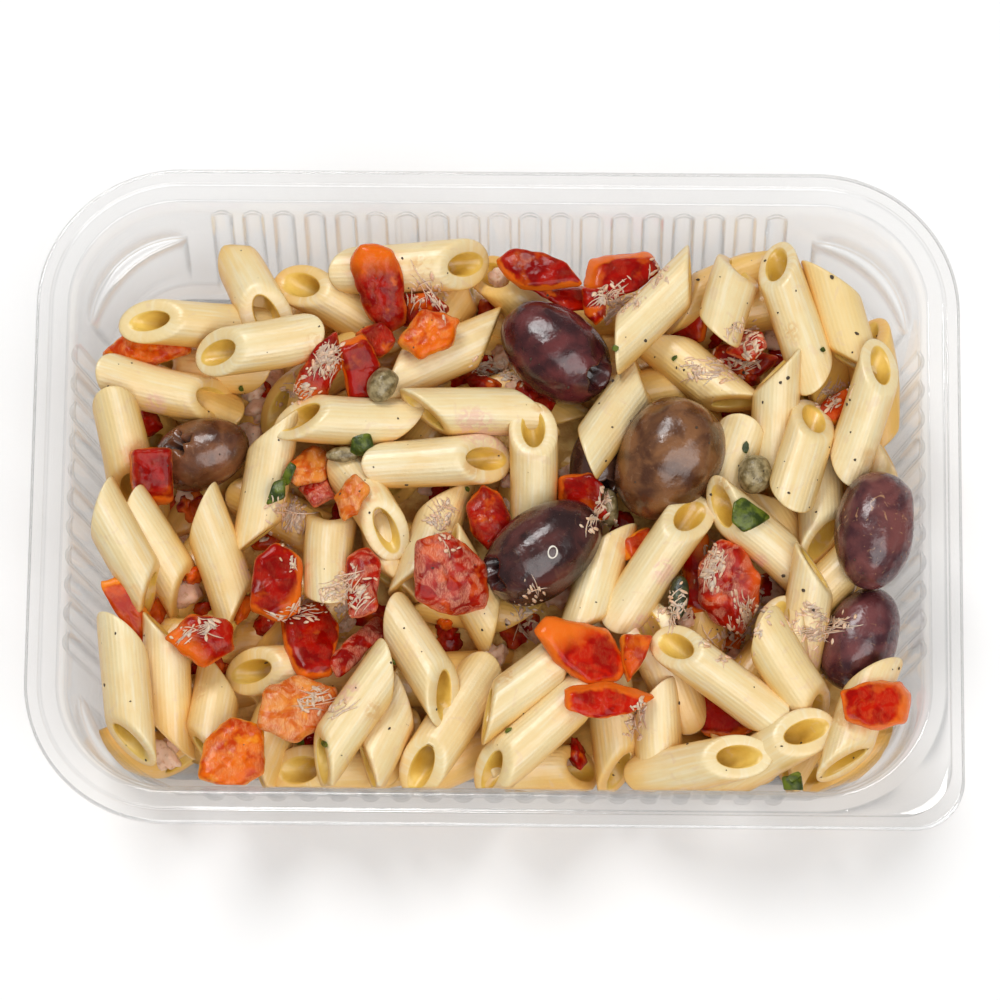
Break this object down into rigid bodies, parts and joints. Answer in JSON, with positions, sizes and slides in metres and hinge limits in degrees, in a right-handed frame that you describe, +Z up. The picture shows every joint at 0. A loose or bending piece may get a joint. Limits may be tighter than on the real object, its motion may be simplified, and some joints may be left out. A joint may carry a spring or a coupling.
{
  "type": "pasta salad in tray",
  "caption": "Penne salad with olives, red pepper, capers and green leaves in a clear plastic tray with fluted walls and a flat flange.",
  "frame": {"origin": "middle of the tray's underside", "axes": "+X along the tray's length, +Y to its far side as pictured, +Z up out of the tray"},
  "size_m": [0.187, 0.136, 0.0361],
  "materials": {
    "tray": "clear gloss",
    "penne": "moist, slightly glossy",
    "olive": "moist gloss",
    "pepper": "moist gloss",
    "caper": "moist",
    "leaf": "moist"
  },
  "bodies": {
    "root": {"caper_1": "caper", "caper_2": "caper", "caper_4": "caper", "caper_6": "caper", "caper_7": "caper", "caper_8": "caper", "leaf_1": "leaf", "leaf_2": "leaf", "leaf_3": "leaf", "leaf_4": "leaf", "leaf_8": "leaf", "olive_1": "olive", "olive_2": "olive", "olive_3": "olive", "olive_4": "olive", "olive_5": "olive", "olive_6": "olive", "olive_7": "olive", "penne_heap": "penne", "pepper_01": "pepper", "pepper_02": "pepper", "pepper_03": "pepper", "pepper_04": "pepper", "pepper_05": "pepper", "pepper_06": "pepper", "pepper_07": "pepper", "pepper_08": "pepper", "pepper_09": "pepper", "pepper_10": "pepper", "pepper_11": "pepper", "pepper_12": "pepper", "pepper_13": "pepper", "pepper_14": "pepper", "pepper_15": "pepper", "pepper_16": "pepper", "pepper_17": "pepper", "pepper_18": "pepper", "pepper_19": "pepper", "pepper_20": "pepper", "pepper_21": "pepper", "pepper_22": "pepper", "pepper_23": "pepper", "pepper_24": "pepper", "pepper_25": "pepper", "pepper_26": "pepper", "pepper_27": "pepper", "pepper_28": "pepper", "pepper_29": "pepper", "pepper_30": "pepper", "pepper_31": "pepper", "pepper_32": "pepper", "pepper_33": "pepper", "pepper_34": "pepper", "pepper_35": "pepper", "pepper_36": "pepper", "pepper_37": "pepper", "pepper_38": "pepper", "tray": "tray"}
  },
  "joints": []
}
